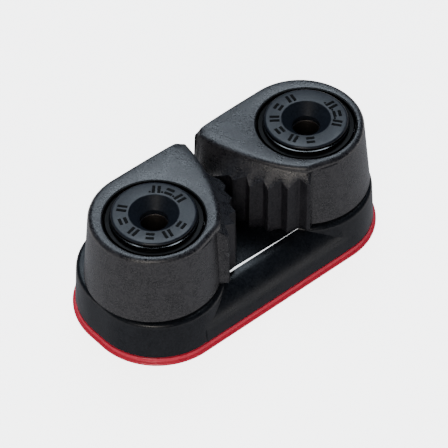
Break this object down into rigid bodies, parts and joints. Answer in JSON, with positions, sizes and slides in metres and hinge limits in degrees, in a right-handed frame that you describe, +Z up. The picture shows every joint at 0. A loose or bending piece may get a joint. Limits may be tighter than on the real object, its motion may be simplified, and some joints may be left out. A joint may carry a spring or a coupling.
{
  "type": "cam cleat",
  "caption": "Ball-bearing cam cleat: two sprung toothed cams on posts with countersunk caps, over a rounded moulded base and a foot plate.",
  "frame": {"origin": "on the underside of the foot plate, midway between the two fixing screws", "axes": "+X through both fixing screws, +Y towards the rope's free tail, -Y towards its load, +Z up off the deck"},
  "size_m": [0.0658, 0.0325, 0.0272],
  "materials": {
    "foot_plate": "satin red moulding",
    "base": "smooth satin black moulding",
    "cam": "spark-eroded charcoal, fibre filled",
    "cap": "satin black",
    "post": "turned",
    "spring": "drawn wire",
    "ball": "tumbled white acetal"
  },
  "bodies": {
    "base": {"base_plate": "foot_plate", "base_body": "base", "post_left": "post", "post_right": "post", "cap_left": "cap", "cap_right": "cap", "spring_left": "spring", "spring_right": "spring"},
    "cam_left": {"cam_left": "cam"},
    "cam_right": {"cam_right": "cam"},
    "bearing_left": {"ball_left_lower_01": "ball", "ball_left_lower_02": "ball", "ball_left_lower_03": "ball", "ball_left_lower_04": "ball", "ball_left_lower_05": "ball", "ball_left_lower_06": "ball", "ball_left_lower_07": "ball", "ball_left_lower_08": "ball", "ball_left_lower_09": "ball", "ball_left_lower_10": "ball", "ball_left_lower_11": "ball", "ball_left_lower_12": "ball", "ball_left_upper_01": "ball", "ball_left_upper_02": "ball", "ball_left_upper_03": "ball", "ball_left_upper_04": "ball", "ball_left_upper_05": "ball", "ball_left_upper_06": "ball", "ball_left_upper_07": "ball", "ball_left_upper_08": "ball", "ball_left_upper_09": "ball", "ball_left_upper_10": "ball", "ball_left_upper_11": "ball", "ball_left_upper_12": "ball"},
    "bearing_right": {"ball_right_lower_01": "ball", "ball_right_lower_02": "ball", "ball_right_lower_03": "ball", "ball_right_lower_04": "ball", "ball_right_lower_05": "ball", "ball_right_lower_06": "ball", "ball_right_lower_07": "ball", "ball_right_lower_08": "ball", "ball_right_lower_09": "ball", "ball_right_lower_10": "ball", "ball_right_lower_11": "ball", "ball_right_lower_12": "ball", "ball_right_upper_01": "ball", "ball_right_upper_02": "ball", "ball_right_upper_03": "ball", "ball_right_upper_04": "ball", "ball_right_upper_05": "ball", "ball_right_upper_06": "ball", "ball_right_upper_07": "ball", "ball_right_upper_08": "ball", "ball_right_upper_09": "ball", "ball_right_upper_10": "ball", "ball_right_upper_11": "ball", "ball_right_upper_12": "ball"}
  },
  "joints": [
    {"name": "cam_left_swing", "type": "hinge", "parent": "base", "child": "cam_left", "pos_m": [-0.019, 0, 0.018], "axis": [0, 0, 1], "range_deg": [0, 60], "stiffness_Nm_per_rad": 0.02, "springref_deg": -34.38, "deforming": ["spring_left"]},
    {"name": "cam_right_swing", "type": "hinge", "parent": "base", "child": "cam_right", "pos_m": [0.019, 0, 0.018], "axis": [0, 0, -1], "range_deg": [0, 60], "stiffness_Nm_per_rad": 0.02, "springref_deg": -34.38, "deforming": ["spring_right"]},
    {"name": "bearing_left_orbit", "type": "hinge", "parent": "base", "child": "bearing_left", "pos_m": [-0.019, 0, 0.0195], "axis": [0, 0, 1], "range_deg": [0, 40]},
    {"name": "bearing_right_orbit", "type": "hinge", "parent": "base", "child": "bearing_right", "pos_m": [0.019, 0, 0.0195], "axis": [0, 0, -1], "range_deg": [0, 40]}
  ],
  "couplings": [
    {"joint": "bearing_left_orbit", "follows": "cam_left_swing", "ratio": 0.629},
    {"joint": "bearing_right_orbit", "follows": "cam_right_swing", "ratio": 0.629}
  ]
}
